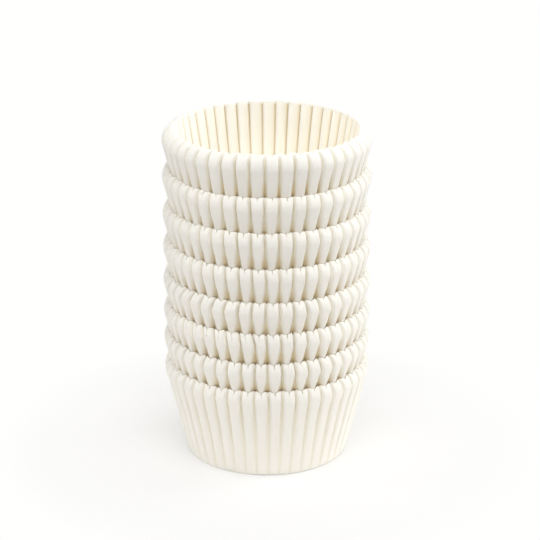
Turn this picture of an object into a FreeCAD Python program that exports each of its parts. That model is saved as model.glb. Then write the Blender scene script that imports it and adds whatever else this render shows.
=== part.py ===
import FreeCAD, Part
import os
import Sketcher

# A stack of fluted paper baking cups, in millimetres, standing on Z = 0.
# Each tier is a tight nest of many paper cups, modelled as one solid. A tier's
# wall is pleated from outside, its rim is the stepped bevel of the papers'
# edges, and each tier's foot sits inside the mouth of the tier below it.

doc = FreeCAD.newDocument("cupcake_liner_stack")

# Name, value and what it sets. Lengths are in millimetres.
SIZES = (
    ("flute_count", 46, "flutes around a cup, a number"),
    ("base_radius", 25.4, "outer radius at the foot of a cup"),
    ("rim_radius", 32.4, "outer radius at the crests of the rim"),
    ("rim_height", 27.4, "foot to the edge of the outermost paper"),
    ("shoulder_in", 1.2, "how far the rim's shoulder steps in"),
    ("shoulder_up", 2.6, "how far the rim's shoulder rises"),
    ("rim_band", 4.1, "width of the papers' edges on an open rim"),
    ("rim_rise", 4.2, "outermost paper's edge to the innermost paper's edge"),
    ("pleat_rim_depth", 2.0, "depth of an outer pleat at the rim"),
    ("pleat_spread", 0.62, "half width of a pleat for each millimetre of depth"),
    ("crease_floor_depth", 0.12, "depth of an open cup's inner crease at the floor"),
    ("crease_rim_depth", 1.6, "depth of an open cup's inner crease at the rim"),
    ("crease_spread", 0.4, "half width of a crease for each millimetre of depth"),
    ("floor_thickness", 1.8, "thickness of the papers in the floor"),
    ("floor_wall", 2.2, "thickness of the papers in the wall at the floor"),
    ("seat_width", 1.4, "ring of papers under the foot of the tier above"),
    ("nest_gap", 0.25, "room between a tier and the wall of the tier above"),
    ("cut_margin", 1.5, "how far a cutting shape runs past what it cuts"),
    ("tier_turn", 0.3, "turn of each tier against the one below, in degrees"),
    ("step_1", 9.9, "foot of the first tier to the foot of the second"),
    ("step_2", 9.0, "second tier to third"),
    ("step_3", 10.3, "third tier to fourth"),
    ("step_4", 10.8, "fourth tier to fifth"),
    ("step_5", 10.8, "fifth tier to sixth"),
    ("step_6", 12.2, "sixth tier to seventh"),
    ("step_7", 11.9, "seventh tier to eighth"),
)

sheet = doc.addObject("Spreadsheet::Sheet", "sizes")
for row, (alias, value, note) in enumerate(SIZES, start=1):
    sheet.set("A%d" % row, alias)
    sheet.set("B%d" % row, str(value))
    sheet.set("C%d" % row, note)
    sheet.setAlias("B%d" % row, alias)
doc.recompute()

# Sketcher's names for the horizontal axis and for the ends of a line.
X_LINE = -1
START = 1
END = 2


def lean(low, high, rise):
    """Expression for how far a straight line moves outwards for each millimetre up."""
    return "(((%s) - (%s)) / (%s))" % (high, low, rise)


HALF_FLUTE = "180 / sizes.flute_count"
OPEN_HEIGHT = "(sizes.rim_height + sizes.rim_rise)"
OPEN_RADIUS = "(sizes.rim_radius - sizes.rim_band)"
CUT_TOP = "(%s + 2 * sizes.cut_margin)" % OPEN_HEIGHT
FLOOR_RADIUS = "(sizes.base_radius - sizes.floor_wall)"
WALL_LEAN = lean("sizes.base_radius", "sizes.rim_radius", "sizes.rim_height")
PLEAT_FOOT = "(sizes.base_radius / cos(%s))" % HALF_FLUTE
PLEAT_RIM = "(sizes.rim_radius - sizes.pleat_rim_depth)"
PLEAT_LEAN = lean(PLEAT_FOOT, PLEAT_RIM, "sizes.rim_height")


def origin_part(body, role):
    """Plane or axis of a body's own origin."""
    for feature in body.Origin.OriginFeatures:
        if feature.Role == role:
            return feature
    raise RuntimeError("no %s in %s" % (role, body.Label))


def ring(label, flat_radius, height):
    """Polygon with a side for each flute, each side flat_radius from the axis."""
    polygon = doc.addObject("Part::RegularPolygon", label)
    polygon.setExpression("Polygon", "sizes.flute_count")
    polygon.setExpression("Circumradius", "%s / cos(%s)" % (flat_radius, HALF_FLUTE))
    polygon.setExpression("Placement.Base.z", height)
    return polygon


def drum(label, rings):
    """Flat-sided solid through rings given as expressions of radius and height."""
    sections = []
    for number, (flat_radius, height) in enumerate(rings, start=1):
        sections.append(ring("%s_ring_%d" % (label, number), flat_radius, height))
    loft = doc.addObject("Part::Loft", label)
    loft.Sections = sections
    loft.Solid = True
    loft.Ruled = True
    loft.Linearize = True
    return loft


def body_on(label, blank):
    """Body that starts from a blank solid."""
    body = doc.addObject("PartDesign::Body", label)
    body.BaseFeature = blank
    return body


def vee(body, label, height, tip, reach, spread, points_out):
    """Triangle at a height, on the X axis, with its tip at a radius."""
    sketch = body.newObject("Sketcher::SketchObject", label)
    sketch.AttachmentSupport = [(origin_part(body, "XY_Plane"), "")]
    sketch.MapMode = "FlatFace"
    sketch.setExpression("AttachmentOffset.Base.z", height)
    near = sheet.base_radius
    far = near - 1 if points_out else near + 1
    corners = (
        FreeCAD.Vector(near, 0, 0),
        FreeCAD.Vector(far, 1, 0),
        FreeCAD.Vector(far, -1, 0),
    )
    for number, corner in enumerate(corners):
        following = corners[(number + 1) % len(corners)]
        sketch.addGeometry(Part.LineSegment(corner, following), False)
    sketch.addConstraint(Sketcher.Constraint("Coincident", 0, END, 1, START))
    sketch.addConstraint(Sketcher.Constraint("Coincident", 1, END, 2, START))
    sketch.addConstraint(Sketcher.Constraint("Coincident", 2, END, 0, START))
    sketch.addConstraint(Sketcher.Constraint("PointOnObject", 0, START, X_LINE))
    sketch.addConstraint(Sketcher.Constraint("Symmetric", 1, START, 1, END, X_LINE))
    ends = (0, END, 0, START) if points_out else (0, START, 0, END)
    radius = sketch.addConstraint(
        Sketcher.Constraint("DistanceX", X_LINE, START, 0, START, near))
    depth = sketch.addConstraint(Sketcher.Constraint("DistanceX", *ends, 1))
    width = sketch.addConstraint(Sketcher.Constraint("DistanceY", 1, END, 1, START, 2))
    sketch.setExpression("Constraints[%d]" % radius, tip)
    sketch.setExpression("Constraints[%d]" % depth, reach)
    sketch.setExpression("Constraints[%d]" % width, "2 * %s * %s" % (spread, reach))
    return sketch


def around(body, label, kind, sketch, outwards, length):
    """Leaning pocket or pad of a sketch, repeated once for each flute."""
    feature = body.newObject(kind, label)
    feature.Profile = sketch
    feature.UseCustomVector = True
    feature.AlongSketchNormal = True
    feature.Direction = FreeCAD.Vector(0, 0, 1)
    feature.setExpression("Direction.x", outwards)
    feature.setExpression("Length", length)
    body.Tip = feature
    pattern = body.newObject("PartDesign::PolarPattern", "%s_around" % label)
    pattern.Originals = [feature]
    pattern.Axis = (origin_part(body, "Z_Axis"), [""])
    pattern.Angle = 360
    pattern.setExpression("Occurrences", "sizes.flute_count")
    body.Tip = pattern


def pleats(body, label, gap):
    """Pleats cut from outside into a wall that stands on Z = 0."""
    start = "(-sizes.cut_margin)"
    tip = "(%s + %s / cos(%s) - %s * sizes.cut_margin)" % (PLEAT_FOOT, gap, HALF_FLUTE, PLEAT_LEAN)
    reach = "(sizes.pleat_rim_depth + sizes.cut_margin)"
    sketch = vee(body, "%s_vee" % label, start, tip, reach, "sizes.pleat_spread", False)
    length = "%s - %s" % (CUT_TOP, start)
    around(body, label, "PartDesign::Pocket", sketch, PLEAT_LEAN, length)


def creases(body, label, low, low_radius, high, high_radius, reach):
    """Ribs on a cutting body, which press creases into the wall it cuts."""
    sketch = vee(body, "%s_vee" % label, low, low_radius, reach, "sizes.crease_spread", True)
    outwards = lean(low_radius, high_radius, "%s - %s" % (high, low))
    around(body, label, "PartDesign::Pad", sketch, outwards, "%s - %s" % (CUT_TOP, low))


# The outside that all tiers share: a pleated, tapered wall under a bevelled rim.
# The bevel is drawn past the innermost paper, and each tier's hollow trims it.
BEVEL_LEAN = lean(
    "sizes.rim_radius - sizes.shoulder_in",
    OPEN_RADIUS,
    "sizes.rim_rise - sizes.shoulder_up",
)
outside_blank = drum("outside_blank", (
    ("sizes.base_radius", "0"),
    ("sizes.rim_radius", "sizes.rim_height"),
    ("(sizes.rim_radius - sizes.shoulder_in)", "sizes.rim_height + sizes.shoulder_up"),
    (
        "(%s + %s * sizes.cut_margin)" % (OPEN_RADIUS, BEVEL_LEAN),
        "%s + sizes.cut_margin" % OPEN_HEIGHT,
    ),
))
outside = body_on("outside", outside_blank)
pleats(outside, "pleat", "0")


# The room that a tier's foot and wall take up in the tier below, drawn from the
# foot of the upper tier. Its ridges fill that tier's pleats.
MOUTH_FOOT = "(sizes.base_radius + sizes.nest_gap)"
MOUTH_RIM = "(sizes.rim_radius + sizes.nest_gap)"
mouth_blank = drum("mouth_blank", (
    (MOUTH_FOOT, "0"),
    ("(%s + %s * %s)" % (MOUTH_FOOT, WALL_LEAN, CUT_TOP), CUT_TOP),
))
mouth = body_on("mouth", mouth_blank)
pleats(mouth, "ridge", "sizes.nest_gap")


def covered_hollow(number, step):
    """Hollow of a tier that carries another: the mouth above a plain pocket."""
    placed = doc.addObject("Part::Compound", "mouth_%d" % number)
    placed.Links = [mouth]
    placed.setExpression("Placement.Base.z", step)
    placed.setExpression("Placement.Rotation.Angle", "-sizes.tier_turn")
    pocket = drum("pocket_%d" % number, (
        (FLOOR_RADIUS, "sizes.floor_thickness"),
        ("(sizes.base_radius - sizes.seat_width)", step),
    ))
    hollow = doc.addObject("Part::MultiFuse", "hollow_%d" % number)
    hollow.Shapes = [pocket, placed]
    return hollow


def open_hollow(number):
    """Hollow of the tier on top, open to view, with its creases between the pleats."""
    inner_lean = lean(FLOOR_RADIUS, OPEN_RADIUS, "%s - sizes.floor_thickness" % OPEN_HEIGHT)
    top_radius = "(%s + %s * (%s - sizes.floor_thickness))" % (FLOOR_RADIUS, inner_lean, CUT_TOP)
    hollow = body_on("hollow_%d" % number, drum("hollow_blank_%d" % number, (
        (FLOOR_RADIUS, "sizes.floor_thickness"),
        (top_radius, CUT_TOP),
    )))
    creases(
        hollow,
        "crease_%d" % number,
        "sizes.floor_thickness",
        "(%s + sizes.crease_floor_depth)" % FLOOR_RADIUS,
        OPEN_HEIGHT,
        "(%s + sizes.crease_rim_depth)" % OPEN_RADIUS,
        "(sizes.crease_rim_depth + sizes.cut_margin)",
    )
    hollow.setExpression("Placement.Rotation.Angle", HALF_FLUTE)
    return hollow


STEPS = ("step_1", "step_2", "step_3", "step_4", "step_5", "step_6", "step_7")

nodes = []
height = "0"
for number in range(1, len(STEPS) + 2):
    covered = number <= len(STEPS)
    nest = doc.addObject("Part::Cut", "liner_nest_%d" % number)
    nest.Base = outside
    if covered:
        nest.Tool = covered_hollow(number, "sizes.%s" % STEPS[number - 1])
    else:
        nest.Tool = open_hollow(number)
    nest.setExpression("Placement.Base.z", height)
    nest.setExpression("Placement.Rotation.Angle", "-%d * sizes.tier_turn" % (number - 1))
    nodes.append(nest)
    if covered:
        height = "%s + sizes.%s" % (height, STEPS[number - 1])

doc.recompute()

for item in doc.Objects:
    if "Invalid" in item.State or "Error" in item.State:
        raise RuntimeError("%s failed: %s" % (item.Label, item.State))
for nest in nodes:
    shape = nest.Shape
    if shape.isNull() or not shape.isValid() or len(shape.Solids) != 1:
        raise RuntimeError("%s is not one valid solid" % nest.Label)

os.makedirs("parts", exist_ok=True)
for nest in nodes:
    nest.Shape.exportStep("parts/%s.step" % nest.Label)
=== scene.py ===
import math
import random

import bmesh
import bpy
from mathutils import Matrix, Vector


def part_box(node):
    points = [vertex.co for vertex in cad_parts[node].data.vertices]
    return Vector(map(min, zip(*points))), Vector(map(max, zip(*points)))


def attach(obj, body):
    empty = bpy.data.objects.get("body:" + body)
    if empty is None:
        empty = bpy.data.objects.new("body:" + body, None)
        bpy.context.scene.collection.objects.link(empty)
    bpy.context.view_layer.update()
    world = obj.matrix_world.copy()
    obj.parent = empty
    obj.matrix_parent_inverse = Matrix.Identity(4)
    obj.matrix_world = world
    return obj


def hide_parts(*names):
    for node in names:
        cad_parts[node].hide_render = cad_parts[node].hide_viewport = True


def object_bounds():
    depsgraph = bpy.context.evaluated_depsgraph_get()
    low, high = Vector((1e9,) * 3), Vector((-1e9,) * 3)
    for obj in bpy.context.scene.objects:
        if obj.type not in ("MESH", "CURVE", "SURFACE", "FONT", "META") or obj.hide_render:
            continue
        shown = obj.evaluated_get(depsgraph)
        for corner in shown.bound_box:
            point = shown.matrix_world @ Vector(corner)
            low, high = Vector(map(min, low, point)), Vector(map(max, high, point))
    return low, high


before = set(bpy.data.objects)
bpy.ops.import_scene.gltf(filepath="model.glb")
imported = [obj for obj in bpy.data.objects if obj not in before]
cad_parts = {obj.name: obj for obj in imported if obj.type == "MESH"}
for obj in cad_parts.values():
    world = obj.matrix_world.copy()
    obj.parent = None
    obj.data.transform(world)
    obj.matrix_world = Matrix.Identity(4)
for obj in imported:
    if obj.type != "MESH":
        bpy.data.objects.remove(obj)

CAD_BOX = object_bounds()
MM = 0.001

# Sizes of one nest of liners, in millimetres, as in the solids.
FLUTES = 46
FOOT_RADIUS = 25.4
RIM_RADIUS = 32.4
RIM_HEIGHT = 27.4
RIM_BAND = 4.1
RIM_RISE = 4.2
PLEAT_DEPTH = 2.0
CREASE_DEPTH = 1.6
FLOOR = 1.8
FLOOR_RADIUS = 23.2
SEAT_RADIUS = 24.0
WALL_LEAN = (RIM_RADIUS - FOOT_RADIUS) / RIM_HEIGHT
BAND_INNER = RIM_RADIUS - RIM_BAND

# Sizes that only the skin has, in millimetres.
GAP = 0.01
FOOT_ROUND = 0.28
FLOOR_ROUND = 0.25
OPEN_LIP = 0.4
TAKEN_LIP = 0.15
NOTCH_DEPTH = 1.3
BAND_LENGTH = 6.5
TUCK_HEIGHT = 4.5

# Share of the foot's radius that is flat, share of the height from which the crests widen towards
# the rim, and shares of a pleat's and an inner crease's depth that are there at their low end.
FOOT_FLAT = 0.97
WIDENS_FROM = 0.7
PLEAT_AT_FOOT = 0.06
CREASE_AT_FLOOR = 0.08

# Shape across a flute, each from 0 to 1: how much a crest bows, how round a valley is, how much of a
# flute is flat crest at the rim, how much steeper one flank is than the other, how much of an inner
# crease is its sharp middle, and how far the rim's inner edge keeps out of the folds of the nest above.
CREST_BOW = 0.04
VALLEY_ROUND = 0.8
RIM_CREST = 0.72
STEEPER = 0.25
CREASE_SHARP = 0.65
LOOSE = 0.55

# Unevenness from flute to flute: sideways, in radians, the range of a factor on the depth, and how
# far the crest lies inwards and the rim lies low, in millimetres.
UNEVEN_SHIFT = 0.0036
UNEVEN_DEPTH = (0.88, 1.08)
UNEVEN_CREST = 0.09
UNEVEN_RIM = 0.25

# Of each nest from the lowest up, in degrees: its turn about the stack's axis, how far its flutes
# are spread apart at the front, and the lift of its front. Then how deep its flutes are, and how
# much of each flute is flat crest where it comes out of the nest below.
LIE = (
    (-0.15, 0.0, 0.0, 0.72, 0.50),
    (-0.3, -0.2, -1.2, 1.0, 0.10),
    (-0.35, -0.85, 0.18, 1.0, 0.12),
    (-1.6, 0.35, -0.35, 1.0, 0.16),
    (-1.4, -1.1, -0.35, 1.0, 0.20),
    (-1.8, 0.0, 0.66, 1.0, 0.28),
    (-2.1, 0.75, -1.4, 1.0, 0.38),
    (-2.35, 1.45, 0.65, 1.0, 0.56),
)

# Columns of points across each flute.
COLUMNS = 16
ROUND = FLUTES * COLUMNS

# Rows of points, as fractions of the way out across the foot, up the wall, across the rim's band,
# down the inside, in across the seat of the nest above, and in across the floor.
FOOT_ROWS = (0.0, 0.5, 0.975, 0.992, 1.0)
WALL_ROWS = (0.02, 0.05, 0.1, 0.17, 0.25, 0.34, 0.43, 0.52, 0.61, 0.7, 0.78, 0.86, 0.92, 0.965)
BAND_ROWS = (0.0, 0.04, 0.1, 0.18, 0.3, 0.44, 0.58, 0.7, 0.8, 0.88, 0.94, 0.98, 1.0)
MOUTH_ROWS = (0.98, 0.93, 0.84, 0.7, 0.55, 0.4, 0.25, 0.12, 0.03)
SEAT_ROWS = (0.0, 1.0)
FLOOR_ROWS = (1.0, 0.97, 0.5, 0.0)

# Values kept at each point for the paper's colour, most of them masks for painted shade: 1 in a fold, 1
# on the inside, 0 to 1 across the rim's band, 0 to 1 up the wall, 1 where tucked into the nest below, and
# 0 to 1 across an inner strip.
LOOKS = ("fold", "inside", "band", "up", "tuck", "shaded")

# Edges of single papers that show across the rim's band.
PAPERS = 25.0

# The side that faces the camera, as an angle about the stack's axis.
FRONT = math.radians(-87.09)

# Camera, in metres: its distance and height, and how far aside of the axis and how high it looks.
LENS = 153.8
SENSOR = 36
CAMERA_DISTANCE = 0.675
CAMERA_HEIGHT = 0.317
LOOK_ASIDE = 0.0010
LOOK_HEIGHT = 0.0590

# Lights: the place and the width of each in metres, and its power in watts. They face the stack's
# axis at the height LIGHTS_FACE.
LIGHTS = (
    ("top_light", (0.05, -0.42, 1.0), 0.7, 7.8),
    ("left_light", (-0.95, 0.05, 0.35), 0.3, 2.2),
    ("right_light", (0.9, 0.3, 0.40), 0.5, 5.0),
    ("back_light", (0.1, 0.9, 0.6), 0.7, 1.5),
)
LIGHTS_FACE = 0.055
DAYLIGHT = (0.95, 0.97, 1.0)
SKY_LIGHT = (0.94, 0.93, 1.0, 1)
SKY_STRENGTH = 0.37
WHITE = (1, 1, 0.99, 1)

random.seed(46)


def mix(low, high, part):
    """The value that lies a part of the way from low to high."""
    return low + (high - low) * part


def smooth(part):
    """0 to 1 with an easy start and end, and held there beyond them."""
    part = min(max(part, 0.0), 1.0)
    return part * part * (3 - 2 * part)


def band_point(outer, turn):
    """Radius and height on the rim's rounded bevel, from the wall at 0 to its inner edge at 1."""
    angle = turn * math.pi / 2
    return mix(BAND_INNER, outer, math.cos(angle)), RIM_HEIGHT + RIM_RISE * math.sin(angle)


def crossing(outer, surface):
    """Where the bevel meets a surface given as a radius for each height."""
    low, high = 0.0, 1.0
    for _ in range(16):
        middle = (low + high) / 2
        radius, height = band_point(outer, middle)
        if radius > surface(height):
            low = middle
        else:
            high = middle
    return (low + high) / 2


def place_in_flute(column):
    """0 and 1 in the valleys, with more columns there and at the crest's middle."""
    even = (column % COLUMNS) / COLUMNS
    crowding = 0.5 * math.sin(4 * math.pi * even) / (4 * math.pi)
    return even - crowding


def from_crest(column):
    """0 at the middle of a crest and 1 in a valley."""
    return abs(2 * place_in_flute(column) - 1)


def flank(across, flat):
    """0 on a flute's flat crest, then down to 1 in the valley's rounded bottom."""
    down = max((across - flat) / (1 - flat), 0)
    rounded = mix(down, math.sin(down * math.pi / 2), VALLEY_ROUND)
    return mix(rounded ** 1.05, across ** 2, CREST_BOW)


class Nest:
    """One tier: a tight nest of liners with flutes that are a little uneven."""

    def __init__(self, number):
        self.node = "liner_nest_%d" % number
        turn, spread, lift, self.depth, self.low_crest = LIE[number - 1]
        self.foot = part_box(self.node)[0][2] / MM
        self.turn = math.radians(turn)
        self.spread = math.radians(spread)
        self.lift = math.tan(math.radians(lift)) * RIM_RADIUS / (RIM_HEIGHT + RIM_RISE)
        self.sink = max(self.lift, 0.0) if number == len(LIE) else 0.0
        self.covered = -2 * TUCK_HEIGHT
        if number > 1:
            below = "liner_nest_%d" % (number - 1)
            self.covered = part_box(below)[1][2] / MM - self.foot
        self.shift = [random.gauss(0, UNEVEN_SHIFT) for _ in range(FLUTES)]
        self.deep = [random.uniform(*UNEVEN_DEPTH) for _ in range(FLUTES)]
        self.crest = [-abs(random.gauss(0, UNEVEN_CREST)) for _ in range(FLUTES)]
        self.rim = [-random.uniform(0, UNEVEN_RIM) for _ in range(FLUTES)]

    def at(self, values, column):
        """An uneven value at a column, from its values at the valleys on each side."""
        flute = (column % ROUND) // COLUMNS
        part = smooth(place_in_flute(column))
        return mix(values[flute], values[(flute + 1) % FLUTES], part)

    def angle(self, column):
        """Angle of a column about the stack's axis."""
        flute = (column % ROUND) // COLUMNS
        even = (flute + place_in_flute(column)) * 2 * math.pi / FLUTES
        return even + self.turn + self.spread * math.sin(2 * (even - FRONT)) + self.at(self.shift, column)

    def stretch(self, angle):
        """How much taller the nest stands on one side than on the other."""
        return 1 - self.lift * math.sin(angle) - self.sink

    def fold(self, column, grown):
        """0 on a crest and 1 in a valley. The flutes lean, so one flank is the steeper."""
        widened = smooth((grown - WIDENS_FROM) / (1 - WIDENS_FROM))
        flat = mix(self.low_crest, RIM_CREST, widened)
        if place_in_flute(column) < 0.5:
            flat = mix(flat, 1.0, STEEPER)
        return flank(from_crest(column), flat)

    def wall(self, column, height):
        """Outer radius of the fluted wall at a height above the foot."""
        grown = max(height, 0) / RIM_HEIGHT
        depth = PLEAT_DEPTH * self.depth * self.at(self.deep, column)
        depth *= mix(PLEAT_AT_FOOT, 1.0, grown ** 0.8)
        bulge = self.at(self.crest, column) * grown
        return FOOT_RADIUS + WALL_LEAN * height + bulge - depth * self.fold(column, grown)


class OpenMouth:
    """The inside of the top nest: wide strips with narrow creases behind the crests.

    Each kind of mouth gives the angle, low end and radius of its inside.
    """

    lip = OPEN_LIP
    seat_rows = ()

    def __init__(self, nest):
        self.nest = nest

    def angle(self, column):
        return self.nest.angle(column)

    def low(self, column):
        return FLOOR

    def radius(self, column, height):
        grown = (height - FLOOR) / (RIM_HEIGHT + RIM_RISE - FLOOR)
        near = 1 - from_crest(column)
        crease = CREASE_DEPTH * mix(CREASE_AT_FLOOR, 1.0, grown)
        return mix(FLOOR_RADIUS, BAND_INNER, grown) + crease * mix(near ** 1.6, near ** 7, CREASE_SHARP)


class TakenMouth:
    """The inside of a nest that another sits in: it follows the wall of that nest."""

    lip = TAKEN_LIP
    seat_rows = SEAT_ROWS

    def __init__(self, nest, above):
        self.nest = nest
        self.above = above

    def angle(self, column):
        return self.above.angle(column)

    def low(self, column):
        return (self.above.foot - self.nest.foot) / self.nest.stretch(self.angle(column))

    def radius(self, column, height):
        angle = self.above.angle(column)
        world = self.nest.foot + height * self.nest.stretch(angle)
        near_rim = smooth(height / RIM_HEIGHT)
        notch = NOTCH_DEPTH * (1 - from_crest(column)) ** 26 * near_rim
        wall = self.above.wall(column, (world - self.above.foot) / self.above.stretch(angle))
        crest = FOOT_RADIUS + WALL_LEAN * (world - self.above.foot)
        return mix(wall, crest, LOOSE * near_rim) + GAP + notch


class Skin:
    """Where the points of one nest's skin lie, row by row, and how the paper looks there.

    Each kind of row gives a point's radius, height above the foot, angle and looks.
    """

    def __init__(self, nest, mouth):
        self.nest = nest
        self.opening = mouth
        self.lips = {}

    def rows(self):
        """Each row of the profile: its kind, and how far along that kind it lies."""
        kinds = (
            (self.foot, FOOT_ROWS),
            (self.wall, WALL_ROWS),
            (self.band, BAND_ROWS),
            (self.mouth, MOUTH_ROWS),
            (self.seat, self.opening.seat_rows),
            (self.floor, FLOOR_ROWS),
        )
        return [(kind, part) for kind, parts in kinds for part in parts]

    def lip(self, column):
        """Outer radius of the rim, and where on its bevel the inside starts."""
        if column not in self.lips:
            outer = self.nest.wall(column, RIM_HEIGHT)
            inner = crossing(outer, lambda height: self.opening.radius(column, height))
            self.lips[column] = (outer, inner)
        return self.lips[column]

    def foot(self, column, part):
        height = FOOT_ROUND * max(part - FOOT_FLAT, 0) / (1 - FOOT_FLAT)
        radius = self.nest.wall(column, height) if part == 1.0 else FOOT_RADIUS * part
        return radius, height, self.nest.angle(column), {}

    def wall(self, column, part):
        height = mix(FOOT_ROUND, RIM_HEIGHT, part)
        # Fold and tuck place painted shade in the valleys and where the wall goes into the nest below.
        looks = {
            "fold": self.nest.fold(column, part),
            "up": part,
            "tuck": 1 - smooth((height - self.nest.covered) / TUCK_HEIGHT),
        }
        return self.nest.wall(column, height), height, self.nest.angle(column), looks

    def band(self, column, part):
        outer, inner = self.lip(column)
        turn = inner * part
        radius, height = band_point(outer, turn)
        height += self.nest.at(self.nest.rim, column) * part
        lip = self.opening.lip
        to_lip = (inner - turn) * BAND_LENGTH
        if to_lip < lip:
            height -= lip * (1 - math.sqrt(1 - (1 - to_lip / lip) ** 2))
        angle = mix(self.nest.angle(column), self.opening.angle(column), part)
        # The painted fold shade fades out across the band.
        looks = {
            "fold": self.nest.fold(column, 1.0) * (1 - part ** 2),
            "band": part,
            "up": 1.0,
        }
        return radius, height, angle, looks

    def mouth(self, column, part):
        outer, inner = self.lip(column)
        high = band_point(outer, inner)[1] - self.opening.lip + self.nest.at(self.nest.rim, column)
        height = mix(self.opening.low(column), high, part)
        # The fold and shaded values place painted shade along the inner creases and across each strip.
        looks = {
            "inside": 1.0,
            "fold": 1 - from_crest(column),
            "shaded": 1 - (place_in_flute(column) + 0.5) % 1,
            "up": part,
        }
        return self.opening.radius(column, height), height, self.opening.angle(column), looks

    def seat(self, column, part):
        radius = mix(FOOT_RADIUS + GAP, SEAT_RADIUS, part)
        return radius, self.opening.low(column), self.nest.angle(column), {"inside": 1.0}

    def floor(self, column, part):
        height = FLOOR + (FLOOR_ROUND if part == 1.0 else 0.0)
        return FLOOR_RADIUS * part, height, self.nest.angle(column), {"inside": 1.0}


def spun_profile(rows_on_axis):
    """Mesh of an upright profile spun round the axis. Each point keeps its row's number."""
    spun = bmesh.new()
    row_number = spun.verts.layers.int.new("row")
    points = []
    for number, on_axis in enumerate(rows_on_axis):
        point = spun.verts.new((0.0 if on_axis else 1.0, 0.0, number * 0.1))
        point[row_number] = number
        points.append(point)
    lines = [spun.edges.new(pair) for pair in zip(points, points[1:])]
    flute = 2 * math.pi / FLUTES
    bmesh.ops.spin(
        spun, geom=points + lines, cent=(0, 0, 0), axis=(0, 0, 1), angle=flute, steps=COLUMNS)
    bmesh.ops.spin(
        spun, geom=spun.verts[:] + spun.edges[:] + spun.faces[:], cent=(0, 0, 0), axis=(0, 0, 1),
        angle=2 * math.pi - flute, steps=FLUTES - 1, use_duplicate=True)
    bmesh.ops.remove_doubles(spun, verts=spun.verts, dist=1e-4)
    return spun


def papers_of(nest, mouth):
    """Skin of one nest: a profile spun round the axis, then folded into flutes."""
    skin = Skin(nest, mouth)
    rows = skin.rows()
    spun = spun_profile([kind in (skin.foot, skin.floor) and part == 0.0 for kind, part in rows])
    row_number = spun.verts.layers.int["row"]
    layers = {look: spun.verts.layers.float.new(look) for look in LOOKS}
    for point in spun.verts:
        kind, part = rows[point[row_number]]
        column = round(math.atan2(point.co.y, point.co.x) * ROUND / (2 * math.pi)) % ROUND
        radius, height, angle, looks = kind(column, part)
        for look, value in looks.items():
            point[layers[look]] = value
        height = nest.foot + height * nest.stretch(angle)
        point.co = Vector((radius * math.cos(angle), radius * math.sin(angle), height)) * MM
    bmesh.ops.recalc_face_normals(spun, faces=spun.faces)
    for face in spun.faces:
        face.smooth = True
    data = bpy.data.meshes.new(nest.node + "_papers")
    spun.to_mesh(data)
    spun.free()
    papers = bpy.data.objects.new(nest.node + "_papers", data)
    bpy.context.collection.objects.link(papers)
    return papers


class Value:
    """A shader socket that sums and products can be written with."""

    def __init__(self, shop, socket):
        self.shop = shop
        self.socket = socket

    def maths(self, operation, first, second, clamp=False):
        settings = {"operation": operation, "use_clamp": clamp}
        return self.shop.node("ShaderNodeMath", settings, {0: first, 1: second})["Value"]

    def __add__(self, other):
        return self.maths("ADD", self, other)

    __radd__ = __add__

    def __sub__(self, other):
        return self.maths("SUBTRACT", self, other)

    def __rsub__(self, other):
        return self.maths("SUBTRACT", other, self)

    def __mul__(self, other):
        return self.maths("MULTIPLY", self, other)

    __rmul__ = __mul__

    def __truediv__(self, other):
        return self.maths("DIVIDE", self, other)

    def __pow__(self, other):
        return self.maths("POWER", self, other)

    def held(self):
        """The value kept between 0 and 1."""
        return self.maths("ADD", self, 0.0, clamp=True)


class Shop:
    """Builds the nodes of one material, or of the world."""

    def __init__(self, owner):
        owner.use_nodes = True
        self.tree = owner.node_tree
        self.tree.nodes.clear()

    def node(self, kind, settings, sockets):
        """Adds a node: its settings first, then the values or links of its sockets."""
        made = self.tree.nodes.new(kind)
        for name, value in settings.items():
            setattr(made, name, value)
        for name, value in sockets.items():
            if isinstance(name, int):
                socket = made.inputs[name]
            else:
                socket = next(
                    entry for entry in made.inputs if name in (entry.identifier, entry.name))
            if isinstance(value, Value):
                self.tree.links.new(value.socket, socket)
            else:
                socket.default_value = value
        return {output.identifier: Value(self, output) for output in made.outputs}

    def attribute(self, name):
        return self.node("ShaderNodeAttribute", {"attribute_name": name}, {})["Fac"]

    def place(self, scale):
        """Object coordinates, in millimetres divided by a pattern's size."""
        coordinates = self.node("ShaderNodeTexCoord", {}, {})["Object"]
        return self.node("ShaderNodeMapping", {}, {"Vector": coordinates, "Scale": scale})["Vector"]

    def noise(self, scale, detail, roughness=0.5):
        sockets = {"Vector": self.place(scale), "Scale": 1.0, "Detail": detail, "Roughness": roughness}
        return self.node("ShaderNodeTexNoise", {}, sockets)["Fac"]

    def blend(self, part, low, high):
        """Colour between two colours."""
        settings = {"data_type": "RGBA", "clamp_factor": True}
        sockets = {"Factor_Float": part, "A_Color": low, "B_Color": high}
        return self.node("ShaderNodeMix", settings, sockets)["Result_Color"]

    def background(self, colour, strength):
        sockets = {"Color": colour, "Strength": strength}
        return self.node("ShaderNodeBackground", {}, sockets)["Background"]

    def finish(self, shader, output="ShaderNodeOutputMaterial"):
        self.node(output, {}, {"Surface": shader})


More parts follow.
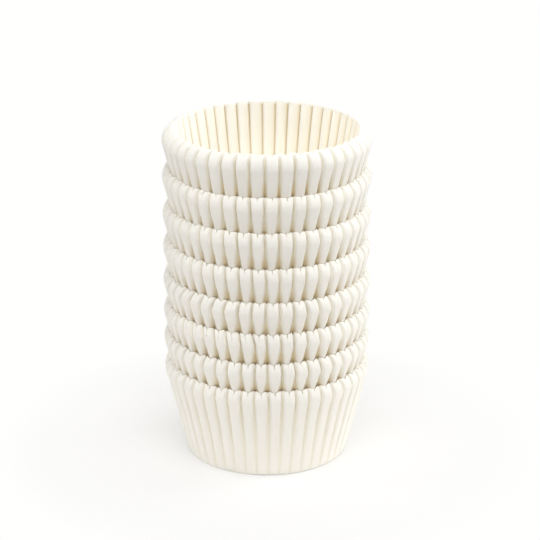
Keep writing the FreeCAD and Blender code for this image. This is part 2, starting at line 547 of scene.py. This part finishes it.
def liner_paper():
    """White greaseproof paper, painted cream and darker in its folds, creases, where tucked into the nest
    below and across its inner strips, as painted shade.
    """
    material = bpy.data.materials.new("white_liner_paper")
    shop = Shop(material)
    fold, inside, band, up, tuck, shaded = [shop.attribute(look) for look in LOOKS]
    cloud = shop.noise((120, 120, 60), 3.0)
    streak = shop.noise((1600, 1600, 90), 2.0)
    fibre = shop.noise((5200, 5200, 3600), 4.0, 0.6)

    # Outside: painted warm shade in the folds, most of all near the rim, and deeper painted shade where
    # tucked into the nest below.
    crest = (0.975, 0.94, 0.84, 1)
    painted_fold_shade = (0.89, 0.835, 0.675, 1)
    tucked_shade = (0.80, 0.65, 0.38, 1)
    deep = (fold ** 1.3 * (0.6 + 0.4 * up)).held()
    outside_colour = shop.blend(deep, crest, painted_fold_shade)
    # Painted darker shade in the valleys where the wall goes into the nest below.
    outside_colour = shop.blend(tuck * (0.08 + 0.85 * fold), outside_colour, tucked_shade)

    # Inside: painted shade across each strip, from white to cream, and painted darker shade along the
    # narrow crease between them.
    inner_strip = (0.99, 0.97, 0.90, 1)
    painted_strip_shade = (0.97, 0.90, 0.72, 1)
    painted_crease_shade = (0.66, 0.52, 0.30, 1)
    inside_colour = shop.blend(shaded ** 1.5, inner_strip, painted_strip_shade)
    # Painted darker shade along the narrow inner creases.
    inside_colour = shop.blend((fold ** 8.0).held(), inside_colour, painted_crease_shade)
    colour = shop.blend(inside, outside_colour, inside_colour)

    # The paper's own faint clouds and upright streaks.
    warm = (0.93, 0.87, 0.75, 1)
    mottle = ((cloud - 0.45) * 0.5 + (streak - 0.5) * 0.35).held()
    colour = shop.blend(mottle, colour, warm)

    # Relief: fibres, streaks, and the edges of single papers on the rim's band.
    roughness = 0.58 + (fibre - 0.5) * 0.12
    on_band = (band * (1 - band) * 6.0).held()
    paper_edge = shop.node("ShaderNodeMath", {"operation": "FRACT"}, {0: band * PAPERS})["Value"]
    relief = (fibre - 0.5) * 0.25 + (streak - 0.5) * 0.5 + paper_edge * on_band * 0.9
    bump = {"Strength": 0.35, "Distance": 0.00012, "Height": relief}
    normal = shop.node("ShaderNodeBump", {}, bump)["Normal"]
    shop.finish(shop.node("ShaderNodeBsdfPrincipled", {}, {
        "Base Color": colour,
        "Roughness": roughness,
        "Specular IOR Level": 0.3,
        "Normal": normal,
    })["BSDF"])
    return material


def pale_floor():
    """Floor that looks nearly white and still keeps a soft shadow, partly its real shadow and partly
    painted grey round the foot.
    """
    material = bpy.data.materials.new("pale_floor")
    shop = Shop(material)
    rays = shop.node("ShaderNodeLightPath", {}, {})
    seen = (rays["Is Camera Ray"] + rays["Is Glossy Ray"] + rays["Is Transmission Ray"]).held()
    flat = shop.node("ShaderNodeTexCoord", {}, {})["Object"]
    away = shop.node("ShaderNodeVectorMath", {"operation": "LENGTH"}, {0: flat})["Value"]

    # Light that it throws back at the stack: less from further out.
    beyond = ((away - 0.06) / 0.10).held()
    sheet = shop.blend(beyond, (0.95, 0.94, 0.92, 1), (0.66, 0.65, 0.63, 1))
    matt = shop.node("ShaderNodeBsdfDiffuse", {}, {"Color": sheet})["BSDF"]

    # What the camera sees: half the matt floor's real shade and half a glow painted grey as a shadow at
    # the foot, then white from a few centimetres on.
    far = ((away - 0.026) / 0.06).held()
    white_with_painted_foot_shadow = shop.blend(far, (0.88, 0.87, 0.84, 1), WHITE)
    glow = shop.node("ShaderNodeEmission", {}, {"Color": white_with_painted_foot_shadow, "Strength": 1.0})["Emission"]
    part = seen * (0.5 + 0.5 * far)
    shop.finish(shop.node("ShaderNodeMixShader", {}, {0: part, 1: matt, 2: glow})["Shader"])
    return material


def white_room():
    """World: white behind the object, softer as light."""
    world = bpy.data.worlds.new("white_room")
    shop = Shop(world)
    rays = shop.node("ShaderNodeLightPath", {}, {})
    light = shop.background(SKY_LIGHT, SKY_STRENGTH)
    seen = shop.background(WHITE, 1.0)
    either = {0: rays["Is Camera Ray"], 1: light, 2: seen}
    shop.finish(shop.node("ShaderNodeMixShader", {}, either)["Shader"], "ShaderNodeOutputWorld")
    bpy.context.scene.world = world


def soft_box(name, place, width, power):
    """Square studio light that faces the middle of the stack."""
    data = bpy.data.lights.new(name, "AREA")
    data.shape = "SQUARE"
    data.size = width
    data.energy = power
    data.color = DAYLIGHT
    lamp = bpy.data.objects.new(name, data)
    lamp.location = place
    aim = Vector((0, 0, LIGHTS_FACE)) - Vector(place)
    lamp.rotation_euler = aim.to_track_quat("-Z", "Y").to_euler()
    bpy.context.collection.objects.link(lamp)


def floor_sheet():
    """The white table under the stack."""
    sheet = bmesh.new()
    bmesh.ops.create_grid(sheet, x_segments=1, y_segments=1, size=3.0)
    data = bpy.data.meshes.new("floor")
    sheet.to_mesh(data)
    sheet.free()
    floor = bpy.data.objects.new("floor", data)
    floor.location.z = CAD_BOX[0][2]
    data.materials.append(pale_floor())
    bpy.context.collection.objects.link(floor)


def camera():
    """Long lens from the front, a little above the stack."""
    data = bpy.data.cameras.new("camera")
    data.sensor_width = SENSOR
    data.lens = LENS
    data.clip_start = 0.01
    data.clip_end = 20
    eye = bpy.data.objects.new("camera", data)
    towards = Vector((math.cos(FRONT), math.sin(FRONT), 0))
    across = Vector((-math.sin(FRONT), math.cos(FRONT), 0))
    eye.location = towards * CAMERA_DISTANCE + Vector((0, 0, CAMERA_HEIGHT))
    target = across * LOOK_ASIDE + Vector((0, 0, LOOK_HEIGHT))
    eye.rotation_euler = (target - eye.location).to_track_quat("-Z", "Y").to_euler()
    bpy.context.collection.objects.link(eye)
    bpy.context.scene.camera = eye


nests = [Nest(number) for number in range(1, len(LIE) + 1)]
mouths = [TakenMouth(nest, above) for nest, above in zip(nests, nests[1:])]
mouths.append(OpenMouth(nests[-1]))
paper = liner_paper()
for nest, mouth in zip(nests, mouths):
    piece = papers_of(nest, mouth)
    piece.data.materials.append(paper)
    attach(piece, "root")
    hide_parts(nest.node)

floor_sheet()
white_room()
for light in LIGHTS:
    soft_box(*light)
camera()
bpy.context.scene.view_settings.view_transform = "Standard"
